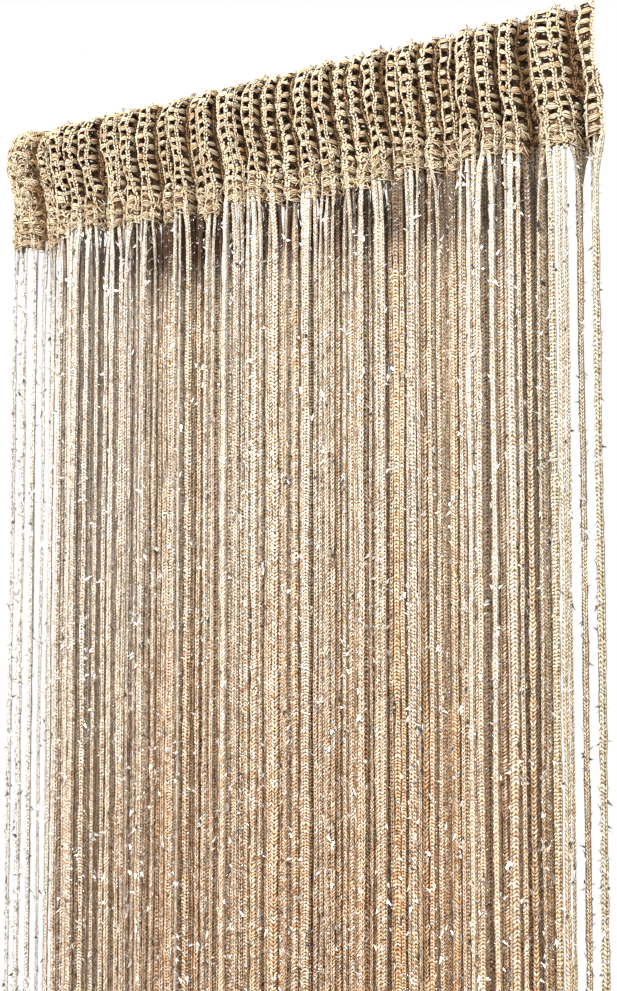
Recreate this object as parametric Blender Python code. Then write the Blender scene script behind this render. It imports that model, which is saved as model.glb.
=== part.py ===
"""String curtain: a gathered openwork heading, made as a flat sleeve for a rod, with a fringe
of hanging strings below it.

Frame: X runs along the curtain, the front faces -Y and +Z is up. The origin is the middle of
the top edge, where the curtain hangs. All sizes are in metres; the tables are in millimetres.
"""
import math
import random
from collections import namedtuple

import bmesh
import bpy
from mathutils import Vector

# Driving sizes
DROP = 2.0             # top edge to the string ends
BAND_HEIGHT = 0.080    # heading, top edge to hem
LADDER_PITCH = 0.0092  # flat distance between two of the heading's chain-stitch ribs
SHEET = 0.0014         # thickness of the openwork cloth
RIB = 0.0006           # how far a chain-stitch rib stands proud of the cloth
SEAM_LAYER = 0.0011    # half thickness where the two layers are sewn together
FOLD_DEPTH_MAX = 0.0145
BACK_SLIP = 0.014      # how far the back layer's right-hand end has slipped in along the rod
SLIP_REACH = 0.120     # length of the curtain over which that slip fades out
FOLD_FILL = 0.46       # share of a fold's spare cloth that goes into its depth
CREST_WIDENING = 0.25  # crests a little rounder than the narrow valleys
FLANK_STEEPNESS = 0.073
BEND_LIMIT = 0.62      # keeps the faces from reaching too far out at a sharp bend
FOOT_PULL = 0.75       # share of a valley's extra depth that only its sewn foot takes
PINCH_SPAN = 0.017     # half height of a pinched place in a fold
CAST_GAP = 0.0003      # parting between the hem and the strip that holds the strings
STRIP_HEIGHT = 0.004
STRIP_HALF = 0.0010    # half thickness of that strip, and of the strings
STRING_WIDTH = 0.0024
STRING_CLEAR = 0.0034  # least distance between the middles of two strings
STRING_SEED = 41
SPREAD_ANGLE = 31.5    # degrees to the right of the front, from where the strings look most even
PUSH_ROUNDS = 12
PUSH_WINDOW = 14       # how many of the next strings may come near to one

MM = 0.001

# The heading's folds from left to right, valley to valley. width: along the curtain. ribs: how
# many ribs of cloth it holds. lean: how far its foot is shifted to the right. hem: how far its
# foot hangs below the mean. valley: extra depth of the valley on its right. pinch: how much of
# the fold is drawn in, and pinch_at: how far down. broad: how wide and flat its crest is.
Fold = namedtuple("Fold", "width ribs lean hem valley pinch pinch_at broad", defaults=(CREST_WIDENING,))
FOLDS = [
    Fold(26, 5, -2, 4, 0, 0.10, 40, 0.60),
    Fold(10, 2, 5, 5, 0, 0.00, 0),
    Fold(18, 4, 5, 1, 1, 0.30, 30),
    Fold(14, 4, 1, -3, 0, 0.00, 0),
    Fold(15, 4, 0, -2, 4, 0.00, 0),
    Fold(21, 5, 3, 1, 1, 0.45, 34),
    Fold(14, 4, 1, 0, 2, 0.00, 0),
    Fold(16, 4, -2, -1, 0, 0.15, 20),
    Fold(10, 2, 0, 2, 0, 0.00, 0),
    Fold(15, 4, 1, -3, 1, 0.20, 30),
    Fold(10, 2, 2, 2, 0, 0.00, 0),
    Fold(13, 4, 2, 4, 1, 0.00, 0),
    Fold(23, 6, 1, -1, 1, 0.12, 58, 0.45),
    Fold(14, 4, -1, -1, 0, 0.00, 0),
    Fold(11, 3, 0, 2, 3, 0.00, 0),
    Fold(11, 3, 1, 2, 0, 0.00, 0),
    Fold(15, 4, 4, 3, 0, 0.25, 12),
    Fold(13, 4, 4, 3, 1, 0.00, 0),
    Fold(11, 3, 5, 1, 0, 0.20, 20),
    Fold(11, 3, 4, 2, 2, 0.00, 0),
    Fold(14, 4, 4, 0, 0, 0.00, 0),
    Fold(10, 2, 3, 0, 0, 0.40, 26),
    Fold(15, 4, 1, -3, 2, 0.35, 34),
    Fold(11, 3, 1, 0, 0, 0.00, 0),
    Fold(10, 2, 1, 2, 1, 0.00, 0),
    Fold(14, 4, 2, -1, 2, 0.40, 20),
    Fold(15, 4, 1, -3, 3, 0.00, 0),
    Fold(13, 4, 0, -1, 6, 0.00, 0),
    Fold(32, 6, 6, 0, 8, 0.00, 0, 0.60),
    Fold(19, 4, 2, -2, 0, 0.00, 0),
]
LAST_FOLD_SHOWN = 2.5  # ribs of the last fold that exist: the cloth ends just past its crest
FIRST_VALLEY = -0.5    # in ribs, so that the edge rib stands on the first fold's flank

# The sleeve's section from the front hem over the top edge to the back hem. height: below the
# top edge. y: where the depth of the folds starts. fold: share of the fold depth. rise: share of
# it that scallops the top edge. back: 0 where the folds stand out to the front, 1 to the back.
# steep: how upright their flanks stand. slip: share of the back layer's slip along the rod.
# pocket: 1 where the layers part for the rod. side: -1 front, 1 back.
Row = namedtuple("Row", "height y fold rise back steep slip pocket side")
SECTION = [
    Row(80, 0.5, 1.04, 0.00, 0.0, 1.0, 0.0, 0, -1),
    Row(60, -1.6, 0.95, 0.00, 0.0, 0.5, 0.0, 0, -1),
    Row(50, -4.8, 0.90, 0.00, 0.0, 0.0, 0.0, 1, -1),
    Row(38, -8.2, 0.96, 0.00, 0.0, 0.5, 0.0, 1, -1),
    Row(25, -10.0, 1.00, 0.00, 0.0, 1.0, 0.0, 1, -1),
    Row(12, -9.6, 0.94, 0.00, 0.0, 1.0, 0.0, 1, -1),
    Row(3, -5.5, 0.60, 0.09, 0.0, 0.6, 0.2, 1, -1),
    Row(1, 0.0, 0.00, 0.20, 1.0, 0.3, 0.5, 1, 1),
    Row(4, 6.5, 0.50, 0.08, 1.0, 0.6, 0.8, 1, 1),
    Row(18, 10.5, 0.80, 0.00, 1.0, 0.9, 1.0, 1, 1),
    Row(35, 9.4, 0.84, 0.00, 0.8, 0.5, 0.6, 1, 1),
    Row(50, 1.8, 0.88, 0.00, 0.25, 0.0, 0.1, 1, 1),
    Row(80, 0.5, 1.04, 0.00, 0.0, 1.0, 0.0, 0, 1),
]

# How far down a string its bends lie, how far it may stray there from the place above, and in
# how many rounds it then spreads out between its neighbours.
Bend = namedtuple("Bend", "depth stray spread")
STRING_BENDS = [
    Bend(190, 0.6, 10),
    Bend(2000, 1.0, 1),
]
END_RAGGED = 0.004     # string ends differ in length by this much


def valley_places():
    """Give each fold's left valley as a rib count, and as a distance along the curtain."""
    at_rib = [FIRST_VALLEY]
    at_x = [0.0]
    for fold in FOLDS:
        at_rib.append(at_rib[-1] + fold.ribs)
        at_x.append(at_x[-1] + fold.width * MM)
    return at_rib, at_x


VALLEY_RIB, VALLEY_X = valley_places()
RIB_COUNT = int(VALLEY_RIB[-2] + LAST_FOLD_SHOWN) + 1


def smooth(value):
    """Ease a value from 0 to 1."""
    value = min(max(value, 0.0), 1.0)
    return value * value * (3.0 - 2.0 * value)


def crest_share(phase, broad):
    """How far a fold stands out at a phase: 0 in the valleys, 1 on the crest."""
    return 0.5 - 0.5 * math.cos(phase + broad * math.sin(phase))


def fold_at(rib):
    """Find the fold that holds a place, and how far through the fold the place is."""
    index = 0
    while index < len(FOLDS) - 1 and rib >= VALLEY_RIB[index + 1]:
        index += 1
    return index, (rib - VALLEY_RIB[index]) / FOLDS[index].ribs


def eased(index, through, measure):
    """Take a measure of a fold, eased into its neighbour's at the valley between them."""
    other = index - 1 if through < 0.5 else index + 1
    other = min(max(other, 0), len(FOLDS) - 1)
    share = smooth(abs(through - 0.5) * 2.0) * 0.5
    return measure(FOLDS[index]) * (1.0 - share) + measure(FOLDS[other]) * share


def fold_depth(fold, height):
    """Depth that a fold takes, at a height, from the cloth which its width leaves spare."""
    flat = fold.ribs * LADDER_PITCH
    spare = math.sqrt(max(flat * flat - (fold.width * MM) ** 2, 0.0))
    depth = min(FOLD_FILL * spare, FOLD_DEPTH_MAX)
    away = (height - fold.pinch_at * MM) / PINCH_SPAN
    return depth * (1.0 - fold.pinch * math.exp(-away * away))


def valley_pull(index, through):
    """Extra depth of the nearest valley, fading out towards the crest."""
    extra = FOLDS[index].valley
    if through < 0.5:
        extra = FOLDS[index - 1].valley if index > 0 else 0.0
    return extra * MM * smooth(abs(through - 0.5) * 2.0)


def place_along(rib):
    """Distance of a place on the cloth along the curtain, from the first valley."""
    index, through = fold_at(rib)
    return VALLEY_X[index] + FOLDS[index].width * MM * through


MIDDLE = 0.5 * (place_along(0.0) + place_along(RIB_COUNT - 1.0))


def sheet_point(rib, row):
    """Middle of the cloth at a place along the curtain and a row of the section."""
    index, through = fold_at(rib)
    height = row.height * MM
    down = height / BAND_HEIGHT
    phase = 2.0 * math.pi * through
    depth = eased(index, through, lambda fold: fold_depth(fold, height))
    width = eased(index, through, lambda fold: fold.width * MM)
    lean = eased(index, through, lambda fold: fold.lean * MM) * down
    hang = eased(index, through, lambda fold: fold.hem * MM) * smooth((down - 0.5) * 2.0)
    crest = crest_share(phase, FOLDS[index].broad)
    foot = 1.0 - row.pocket * FOOT_PULL
    pull = valley_pull(index, through) * foot * (1.0 - row.back)
    ripple = width * FLANK_STEEPNESS * row.steep * math.sin(2.0 * phase)
    place = place_along(rib)
    slip = BACK_SLIP * row.slip * smooth((place - VALLEY_X[-1]) / SLIP_REACH + 1.0)
    y = row.y * MM + depth * row.fold * (row.back - crest) + pull
    z = depth * row.rise * crest - height - hang
    return Vector((place + ripple + lean - slip - MIDDLE, y, z))


def sheet_grid():
    """Middle of the cloth at each half rib, as one list of places for each row of the section."""
    halves = range(2 * (RIB_COUNT - 1) + 1)
    return [[sheet_point(half / 2, row) for half in halves] for row in SECTION]


GRID = sheet_grid()


def outward(number, half):
    """Outward direction at a half rib, long enough to keep the cloth's thickness at its bends."""
    line = GRID[number]
    here = line[half]
    row = SECTION[number]
    up = Vector((0.0, 0.0, -row.side))
    if row.pocket:
        up = GRID[number + 1][half] - GRID[number - 1][half]
    left = line[max(half - 1, 0)]
    right = line[min(half + 1, len(line) - 1)]
    before = (here - left if half > 0 else right - here).cross(up).normalized()
    after = (right - here if half < len(line) - 1 else here - left).cross(up).normalized()
    middle = (before + after).normalized()
    return middle / max(middle.dot(before), BEND_LIMIT)


def outer_point(half, number):
    """Outer face of the sleeve, with its ribs raised."""
    row = SECTION[number]
    layer = SHEET / 2 if row.pocket else SEAM_LAYER
    proud = RIB if half % 2 == 0 else 0.0
    return GRID[number][half] + outward(number, half) * (layer + proud)


def inner_point(half, number):
    """Inner face of the sleeve, around the way for the rod."""
    return GRID[number][half] - outward(number, half) * SHEET / 2


def add_grid(bm, columns, closed):
    """Join columns of points with quads, closing each column into a ring if asked."""
    rings = [[bm.verts.new(point) for point in column] for column in columns]
    count = len(rings[0])
    for left, right in zip(rings, rings[1:]):
        for here in range(count if closed else count - 1):
            after = (here + 1) % count
            bm.faces.new((left[here], right[here], right[after], left[after]))
    return rings


def close_end(bm, outer, inner):
    """Close one open end of the sleeve between its outer and inner faces."""
    pocket = [number for number, row in enumerate(SECTION) if row.pocket]
    for slot, (here, after) in enumerate(zip(pocket, pocket[1:])):
        bm.faces.new((outer[here], outer[after], inner[slot + 1], inner[slot]))
    first = pocket[0]
    last = pocket[-1]
    seam = outer[last:] + outer[:first + 1] + [inner[0], inner[-1]]
    bm.faces.new(seam)


def finish_object(name, bm, colour, roughness):
    """Turn a closed bmesh into a named object with its own cloth material."""
    bmesh.ops.recalc_face_normals(bm, faces=bm.faces)
    mesh = bpy.data.meshes.new(name)
    bm.to_mesh(mesh)
    bm.free()
    material = bpy.data.materials.new(name + "_yarn")
    material.use_nodes = True
    shader = material.node_tree.nodes["Principled BSDF"]
    shader.inputs["Base Color"].default_value = (*colour, 1.0)
    shader.inputs["Roughness"].default_value = roughness
    shader.inputs["Metallic"].default_value = 0.0
    mesh.materials.append(material)
    obj = bpy.data.objects.new(name, mesh)
    bpy.context.collection.objects.link(obj)
    return obj


def make_heading():
    """The gathered openwork band: two layers, folded at the top and sewn together at the foot."""
    bm = bmesh.new()
    halves = range(len(GRID[0]))
    pocket = [number for number, row in enumerate(SECTION) if row.pocket]
    outer_columns = [[outer_point(half, number) for number in range(len(SECTION))] for half in halves]
    inner_columns = [[inner_point(half, number) for number in pocket] for half in halves]
    outer = add_grid(bm, outer_columns, True)
    inner = add_grid(bm, inner_columns, True)
    close_end(bm, outer[0], inner[0])
    close_end(bm, outer[-1], inner[-1])
    return finish_object("heading", bm, (0.62, 0.49, 0.30), 0.75)


def hem_place(half):
    """Place on the hem at any distance along it, counted in half ribs."""
    low = min(int(half), len(GRID[0]) - 2)
    return GRID[0][low].lerp(GRID[0][low + 1], half - low)


def string_side(half):
    """Direction out of the hem at the root of a string."""
    out = outward(0, half)
    return Vector((out.x, out.y, 0.0)).normalized()


def strip_corners(half, shift):
    """The four corners of the strip under the hem, on one side of a string's middle."""
    last = len(GRID[0]) - 1
    middle = hem_place(min(max(half, abs(shift)), last - abs(shift)) + shift)
    side = string_side(half) * STRIP_HALF
    top = min(middle.z, GRID[0][half].z) - CAST_GAP
    low = top - STRIP_HEIGHT
    front = middle + side
    back = middle - side
    return [
        Vector((front.x, front.y, top)),
        Vector((back.x, back.y, top)),
        Vector((back.x, back.y, low)),
        Vector((front.x, front.y, low)),
    ]


def spread_out(places, rounds):
    """Let each string drift half way to the middle between those beside it, seen from the right."""
    angle = math.radians(SPREAD_ANGLE)
    across = Vector((math.cos(angle), math.sin(angle)))
    for _ in range(rounds):
        order = sorted(range(len(places)), key=lambda number: places[number].dot(across))
        seen = [places[number].dot(across) for number in order]
        for slot in range(1, len(order) - 1):
            drift = (seen[slot - 1] + seen[slot + 1]) / 2 - seen[slot]
            places[order[slot]] = places[order[slot]] + across * drift / 2
    return places


def push_apart(places):
    """Move strings that hang too close to each other a little further apart."""
    for _ in range(PUSH_ROUNDS):
        for number, here in enumerate(places):
            for other in range(number + 1, min(number + PUSH_WINDOW, len(places))):
                gap = places[other] - here
                short = STRING_CLEAR - gap.length
                if short > 0.0:
                    move = gap.normalized() * short / 2
                    places[other] = places[other] + move
                    here = here - move
            places[number] = here
    return places


def string_bends(roots):
    """Middles of the strings at each of their bends below the roots."""
    chance = random.Random(STRING_SEED)
    places = [Vector((root.x, root.y)) for root in roots]
    bends = []
    for bend in STRING_BENDS:
        stray = bend.stray * MM
        places = [place + Vector((chance.uniform(-stray, stray), chance.uniform(-stray, stray)))
                  for place in places]
        places = push_apart(spread_out(places, bend.spread))
        bends.append([Vector((place.x, place.y, -bend.depth * MM)) for place in places])
    for end in bends[-1]:
        end.z += chance.uniform(0.0, END_RAGGED)
    return bends


def make_fringe():
    """The strings, each drawn down from its own face under a narrow strip."""
    bm = bmesh.new()
    reach = STRING_WIDTH / LADDER_PITCH
    halves = range(len(GRID[0]))
    columns = [strip_corners(half, shift) for half in halves for shift in (-reach, reach)]
    rings = add_grid(bm, columns, True)
    bm.faces.new(rings[0])
    bm.faces.new(rings[-1][::-1])
    sections = [[left[3], left[2], right[2], right[3]] for left, right in zip(rings[0::2], rings[1::2])]
    roots = [sum((vert.co for vert in section), Vector()) / 4 for section in sections]
    bends = string_bends(roots)
    for half, section in zip(halves, sections):
        face = next(face for face in section[0].link_faces if set(face.verts) == set(section))
        bm.faces.remove(face)
        side = string_side(half)
        along = Vector((-side.y, side.x, 0.0)) * STRING_WIDTH / 2
        side = side * STRIP_HALF
        above = section
        for bend in bends:
            corners = (side - along, -side - along, along - side, side + along)
            below = [bm.verts.new(bend[half] + corner) for corner in corners]
            for here in range(4):
                after = (here + 1) % 4
                bm.faces.new((above[here], above[after], below[after], below[here]))
            above = below
        bm.faces.new(above)
    return finish_object("string_fringe", bm, (0.72, 0.58, 0.38), 0.6)


def clear_scene():
    """Remove whatever the open scene holds."""
    for obj in list(bpy.data.objects):
        bpy.data.objects.remove(obj, do_unlink=True)


def main():
    """Build the curtain."""
    clear_scene()
    make_heading()
    make_fringe()


main()
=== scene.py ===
import math
import random

import bpy
import numpy as np
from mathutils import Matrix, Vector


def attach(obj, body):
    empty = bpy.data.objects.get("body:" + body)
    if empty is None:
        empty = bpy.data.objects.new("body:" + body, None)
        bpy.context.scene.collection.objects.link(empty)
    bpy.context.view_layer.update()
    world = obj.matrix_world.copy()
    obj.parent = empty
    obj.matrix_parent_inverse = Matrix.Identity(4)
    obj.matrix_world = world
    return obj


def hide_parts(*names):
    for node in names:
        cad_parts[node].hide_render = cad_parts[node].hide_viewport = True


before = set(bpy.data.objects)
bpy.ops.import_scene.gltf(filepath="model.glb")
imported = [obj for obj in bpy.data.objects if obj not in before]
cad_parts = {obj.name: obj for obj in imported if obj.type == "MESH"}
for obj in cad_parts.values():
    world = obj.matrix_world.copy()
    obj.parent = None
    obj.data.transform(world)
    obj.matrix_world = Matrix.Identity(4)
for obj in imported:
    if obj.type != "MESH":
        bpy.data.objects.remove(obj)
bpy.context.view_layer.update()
bpy.ops.object.select_all(action="DESELECT")

mm = 0.001
camera = {  # as it stood for the photo, whose sizes are in pixels
    "place": (0.448, -0.692, -0.32), "pitch": 3.6, "turn": 31.5,
    "focus": 1300, "photoHigh": 991, "photoMiddle": 308.5, "sensor": 36,
}

# The heading's folds from left to right, as they are in the solid: lengths in mm, lean and hem too
foldColumns = ("width", "ribs", "lean", "hem", "valley", "pinch", "pinchAt", "broad")
foldTable = np.array([
    (26, 5, -2, 4, 0, 0.10, 40, 0.60), (10, 2, 5, 5, 0, 0, 0, 0.25), (18, 4, 5, 1, 1, 0.30, 30, 0.25),
    (14, 4, 1, -3, 0, 0, 0, 0.25), (15, 4, 0, -2, 4, 0, 0, 0.25), (21, 5, 3, 1, 1, 0.45, 34, 0.25),
    (14, 4, 1, 0, 2, 0, 0, 0.25), (16, 4, -2, -1, 0, 0.15, 20, 0.25), (10, 2, 0, 2, 0, 0, 0, 0.25),
    (15, 4, 1, -3, 1, 0.20, 30, 0.25), (10, 2, 2, 2, 0, 0, 0, 0.25), (13, 4, 2, 4, 1, 0, 0, 0.25),
    (23, 6, 1, -1, 1, 0.12, 58, 0.45), (14, 4, -1, -1, 0, 0, 0, 0.25), (11, 3, 0, 2, 3, 0, 0, 0.25),
    (11, 3, 1, 2, 0, 0, 0, 0.25), (15, 4, 4, 3, 0, 0.25, 12, 0.25), (13, 4, 4, 3, 1, 0, 0, 0.25),
    (11, 3, 5, 1, 0, 0.20, 20, 0.25), (11, 3, 4, 2, 2, 0, 0, 0.25), (14, 4, 4, 0, 0, 0, 0, 0.25),
    (10, 2, 3, 0, 0, 0.40, 26, 0.25), (15, 4, 1, -3, 2, 0.35, 34, 0.25), (11, 3, 1, 0, 0, 0, 0, 0.25),
    (10, 2, 1, 2, 1, 0, 0, 0.25), (14, 4, 2, -1, 2, 0.40, 20, 0.25), (15, 4, 1, -3, 3, 0, 0, 0.25),
    (13, 4, 0, -1, 6, 0, 0, 0.25), (32, 6, 6, 0, 8, 0, 0, 0.60), (19, 4, 2, -2, 0, 0, 0, 0.25),
])
fold = {name: foldTable[:, slot] for slot, name in enumerate(foldColumns)}

# The sleeve's section from the front hem over the top edge to the back hem, as in the solid, in mm
sectionColumns = ("height", "y", "fold", "rise", "back", "steep", "slip", "pocket")
sectionTable = np.array([
    (80, 0.5, 1.04, 0, 0, 1.0, 0, 0), (60, -1.6, 0.95, 0, 0, 0.5, 0, 0),
    (50, -4.8, 0.90, 0, 0, 0.0, 0, 1), (38, -8.2, 0.96, 0, 0, 0.5, 0, 1),
    (25, -10, 1.00, 0, 0, 1.0, 0, 1), (12, -9.6, 0.94, 0, 0, 1.0, 0, 1),
    (3, -5.5, 0.60, 0.09, 0, 0.6, 0.2, 1), (1, 0, 0, 0.20, 1.0, 0.3, 0.5, 1),
    (4, 6.5, 0.50, 0.08, 1.0, 0.6, 0.8, 1), (18, 10.5, 0.80, 0, 1.0, 0.9, 1.0, 1),
    (35, 9.4, 0.84, 0, 0.8, 0.5, 0.6, 1), (50, 1.8, 0.88, 0, 0.25, 0.0, 0.1, 1),
    (80, 0.5, 1.04, 0, 0, 1.0, 0, 0),
])
section = {name: sectionTable[:, slot] for slot, name in enumerate(sectionColumns)}

cloth = {
    "bandHeight": 0.080, "ladderPitch": 0.0092, "foldDepthMax": 0.0145, "foldFill": 0.46,
    "flankSteepness": 0.073, "footPull": 0.75, "pinchSpan": 0.017,
    "backSlip": 0.014, "slipReach": 0.120, "firstValley": -0.5, "ribCount": 110,
    "seamLift": 1.0 * mm, "seamTop": 0.018, "seamFade": 0.014, "meanDepth": 0.010, "topRow": 7,
    "turnPast": 0.003,
}
valleyRib = cloth["firstValley"] + np.concatenate(([0], np.cumsum(fold["ribs"])))
valleyX = np.concatenate(([0], np.cumsum(fold["width"]))) * mm
lastRib = cloth["ribCount"] - 1


def smooth(value):
    value = np.clip(value, 0.0, 1.0)
    return value * value * (3.0 - 2.0 * value)


def foldAt(rib):
    index = np.clip(np.searchsorted(valleyRib, rib, side="right") - 1, 0, len(foldTable) - 1)
    return index, (rib - valleyRib[index]) / fold["ribs"][index]


def crestShare(rib):  # 0 in the valleys, 1 on the crests
    index, through = foldAt(rib)
    phase = 2 * math.pi * through
    return 0.5 - 0.5 * np.cos(phase + fold["broad"][index] * np.sin(phase))


def placeAlong(rib):
    index, through = foldAt(rib)
    return valleyX[index] + fold["width"][index] * mm * through


middleX = 0.5 * (placeAlong(0.0) + placeAlong(float(lastRib)))


def clothRow(rib, row):  # middle of the cloth at many ribs, in one row of the section
    index, through = foldAt(rib)
    other = np.clip(np.where(through < 0.5, index - 1, index + 1), 0, len(foldTable) - 1)
    share = smooth(np.abs(through - 0.5) * 2) * 0.5
    height = section["height"][row] * mm
    down = height / cloth["bandHeight"]
    flat = fold["ribs"] * cloth["ladderPitch"]
    spare = np.sqrt(np.maximum(flat ** 2 - (fold["width"] * mm) ** 2, 0))
    away = (height - fold["pinchAt"] * mm) / cloth["pinchSpan"]
    depths = np.minimum(cloth["foldFill"] * spare, cloth["foldDepthMax"])
    depths = depths * (1 - fold["pinch"] * np.exp(-away * away))

    def eased(values):
        return values[index] * (1 - share) + values[other] * share

    depth = eased(depths)
    width = eased(fold["width"] * mm)
    lean = eased(fold["lean"] * mm) * down
    hang = eased(fold["hem"] * mm) * smooth((down - 0.5) * 2)
    phase = 2 * math.pi * through
    crest = crestShare(rib)
    before = np.where(index > 0, fold["valley"][index - 1], 0)
    extra = np.where(through < 0.5, before, fold["valley"][index])
    back = section["back"][row]
    foot = 1 - section["pocket"][row] * cloth["footPull"]
    pull = extra * mm * smooth(np.abs(through - 0.5) * 2) * foot * (1 - back)
    ripple = width * cloth["flankSteepness"] * section["steep"][row] * np.sin(2 * phase)
    place = placeAlong(rib)
    slipped = smooth((place - valleyX[-1]) / cloth["slipReach"] + 1)
    slip = cloth["backSlip"] * section["slip"][row] * slipped
    y = section["y"][row] * mm + depth * section["fold"][row] * (back - crest) + pull
    z = depth * section["rise"][row] * crest - height - hang
    return np.stack([place + ripple + lean - slip - middleX, y, z], axis=-1)


# The whole cloth as a fine net of places: eight to a rib, and one for each millimetre of its path
ribStep = 1 / 8
pathStep = 1.0 * mm
rowY = section["y"] * mm - 0.5 * section["fold"] * cloth["meanDepth"] * (1 - 2 * section["back"])
rowZ = -section["height"] * mm
rowPath = np.concatenate(([0], np.cumsum(np.hypot(np.diff(rowY), np.diff(rowZ)))))
pathLength = float(rowPath[-1])
topPath = float(rowPath[cloth["topRow"]])
fineRibs = np.arange(0, lastRib + ribStep / 2, ribStep)
finePath = np.linspace(0, pathLength, int(pathLength / pathStep) + 1)


def splineThrough(knots, values, at):  # a smooth curve through the rows of the section
    slopes = np.empty_like(values)
    slopes[1:-1] = (values[2:] - values[:-2]) / (knots[2:] - knots[:-2])[:, None, None]
    slopes[0] = (values[1] - values[0]) / (knots[1] - knots[0])
    slopes[-1] = (values[-1] - values[-2]) / (knots[-1] - knots[-2])
    low = np.clip(np.searchsorted(knots, at, side="right") - 1, 0, len(knots) - 2)
    span = (knots[low + 1] - knots[low])[:, None, None]
    t = ((at - knots[low]) / (knots[low + 1] - knots[low]))[:, None, None]
    return ((2 * t ** 3 - 3 * t ** 2 + 1) * values[low] + (t ** 3 - 2 * t ** 2 + t) * span * slopes[low]
            + (3 * t ** 2 - 2 * t ** 3) * values[low + 1] + (t ** 3 - t ** 2) * span * slopes[low + 1])


def randomWaves(settings):  # turns a rib, turns a metre of the path, phase, and size each way
    chance = np.random.default_rng(settings["seed"])
    waves = []
    for _ in range(settings["waves"]):
        perRib = chance.uniform(*settings["perRib"])
        perMetre = chance.uniform(*settings["perMetre"]) * chance.choice((-1, 1))
        phase = chance.uniform(0, 2 * math.pi)
        size = chance.normal(0, 1, len(settings["size"])) * settings["size"]
        waves.append((perRib, perMetre, phase, size))
    return waves


def sumWaves(waves, rib, path):
    return sum(np.sin(2 * math.pi * (rib * perRib + path * perMetre) + phase)[..., None] * size
               for perRib, perMetre, phase, size in waves)


wrinkle = {  # small uneven draws in the cloth: along it, outwards and up
    "waves": 18, "perRib": (0.05, 0.30), "perMetre": (12, 75), "size": (0.55 * mm, 0.75 * mm, 0.45 * mm),
    "calmHem": 0.012, "seed": 3,
}


def addWrinkles(net):
    rib, path = np.meshgrid(fineRibs, finePath, indexing="ij")
    calm = smooth(np.minimum(path, pathLength - path) / wrinkle["calmHem"])
    push = sumWaves(randomWaves(wrinkle), rib, path) / math.sqrt(wrinkle["waves"])
    return net + calm[..., None] * push


rows = np.stack([clothRow(fineRibs, row) for row in range(len(sectionTable))])
clothNet = addWrinkles(splineThrough(rowPath, rows, finePath).transpose(1, 0, 2))
alongRib = np.gradient(clothNet, axis=0)
alongPath = np.gradient(clothNet, axis=1)
clothOut = np.cross(alongRib, alongPath)
clothOut /= np.linalg.norm(clothOut, axis=-1, keepdims=True)

knitStray = {  # how the knit's ribs and rows stray from their places, in ribs and in metres
    "waves": 16, "perRib": (0.12, 0.55), "perMetre": (15, 120), "size": (0.045, 0.40 * mm), "seed": 17,
    "calmFrom": 0.003, "calmHem": 0.012, "calmEnd": 1.5, "least": 0.24, "leftMore": 0.50,
    "leftRibs": (6, 20),
}
knitWaves = randomWaves(knitStray)


def stray(rib, path):  # nothing strays at the hems, and the left end is the most ravelled
    calm = smooth((np.minimum(path, pathLength - path) - knitStray["calmFrom"]) / knitStray["calmHem"])
    inner = smooth(np.minimum(rib, lastRib - rib) / knitStray["calmEnd"])
    leftFrom, leftReach = knitStray["leftRibs"]
    amount = knitStray["least"] + knitStray["leftMore"] * (1 - smooth((rib - leftFrom) / leftReach))
    off = sumWaves(knitWaves, rib, path) * (calm * amount)[..., None]
    return rib + off[..., 0] * inner, path + off[..., 1]


def layOn(rib, path, lift):  # the place at a rib and a distance up the cloth, lifted off its middle
    rib, path = stray(rib, path)
    a = np.clip(rib, 0, lastRib) / ribStep
    b = np.clip(path, 0, pathLength) / (finePath[1] - finePath[0])
    a0 = np.minimum(a.astype(int), len(fineRibs) - 2)
    b0 = np.minimum(b.astype(int), len(finePath) - 2)
    fa = (a - a0)[..., None]
    fb = (b - b0)[..., None]

    def between(net):
        low = net[a0, b0] * (1 - fa) + net[a0 + 1, b0] * fa
        high = net[a0, b0 + 1] * (1 - fa) + net[a0 + 1, b0 + 1] * fa
        return low * (1 - fb) + high * fb

    seam = np.maximum(1 - smooth((path - cloth["seamTop"]) / cloth["seamFade"]),
                      1 - smooth((pathLength - path - cloth["seamTop"]) / cloth["seamFade"]))
    out = between(clothOut)
    place = between(clothNet) + out * (lift + cloth["seamLift"] * seam)[..., None]
    past = (path - np.clip(path, 0, pathLength))[..., None]
    turn = np.where(path < pathLength / 2, 1.0, -1.0)[..., None]
    place = place + past * turn * np.array([0.0, 0.0, 1.0])
    beyond = (rib - np.clip(rib, 0, lastRib))[..., None] * cloth["ladderPitch"]
    return place + beyond * np.array([0.8, 0.0, 0.0])


print("cloth net", clothNet.shape, "path", round(pathLength, 4))


# Shader maths: a wrapped socket takes part in Python expressions
class Wire:
    def __init__(self, tree, socket):
        self.tree = tree
        self.socket = socket

    def maths(self, operation, *items):
        return Nodes(self.tree).node("Math", {"operation": operation}, dict(enumerate(items)))

    def __add__(self, other): return self.maths("ADD", self, other)
    def __radd__(self, other): return self.maths("ADD", other, self)
    def __sub__(self, other): return self.maths("SUBTRACT", self, other)
    def __rsub__(self, other): return self.maths("SUBTRACT", other, self)
    def __mul__(self, other): return self.maths("MULTIPLY", self, other)
    def __rmul__(self, other): return self.maths("MULTIPLY", other, self)
    def __truediv__(self, other): return self.maths("DIVIDE", self, other)
    def __gt__(self, other): return self.maths("GREATER_THAN", self, other)
    def __lt__(self, other): return self.maths("LESS_THAN", self, other)
    def __abs__(self): return self.maths("ABSOLUTE", self)
    def fraction(self): return self.maths("FRACT", self)
    def whole(self): return self.maths("FLOOR", self)
    def most(self, other): return self.maths("MAXIMUM", self, other)


def plug(tree, item, socket):
    if isinstance(item, Wire):
        tree.links.new(item.socket, socket)
    else:
        socket.default_value = item


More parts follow.
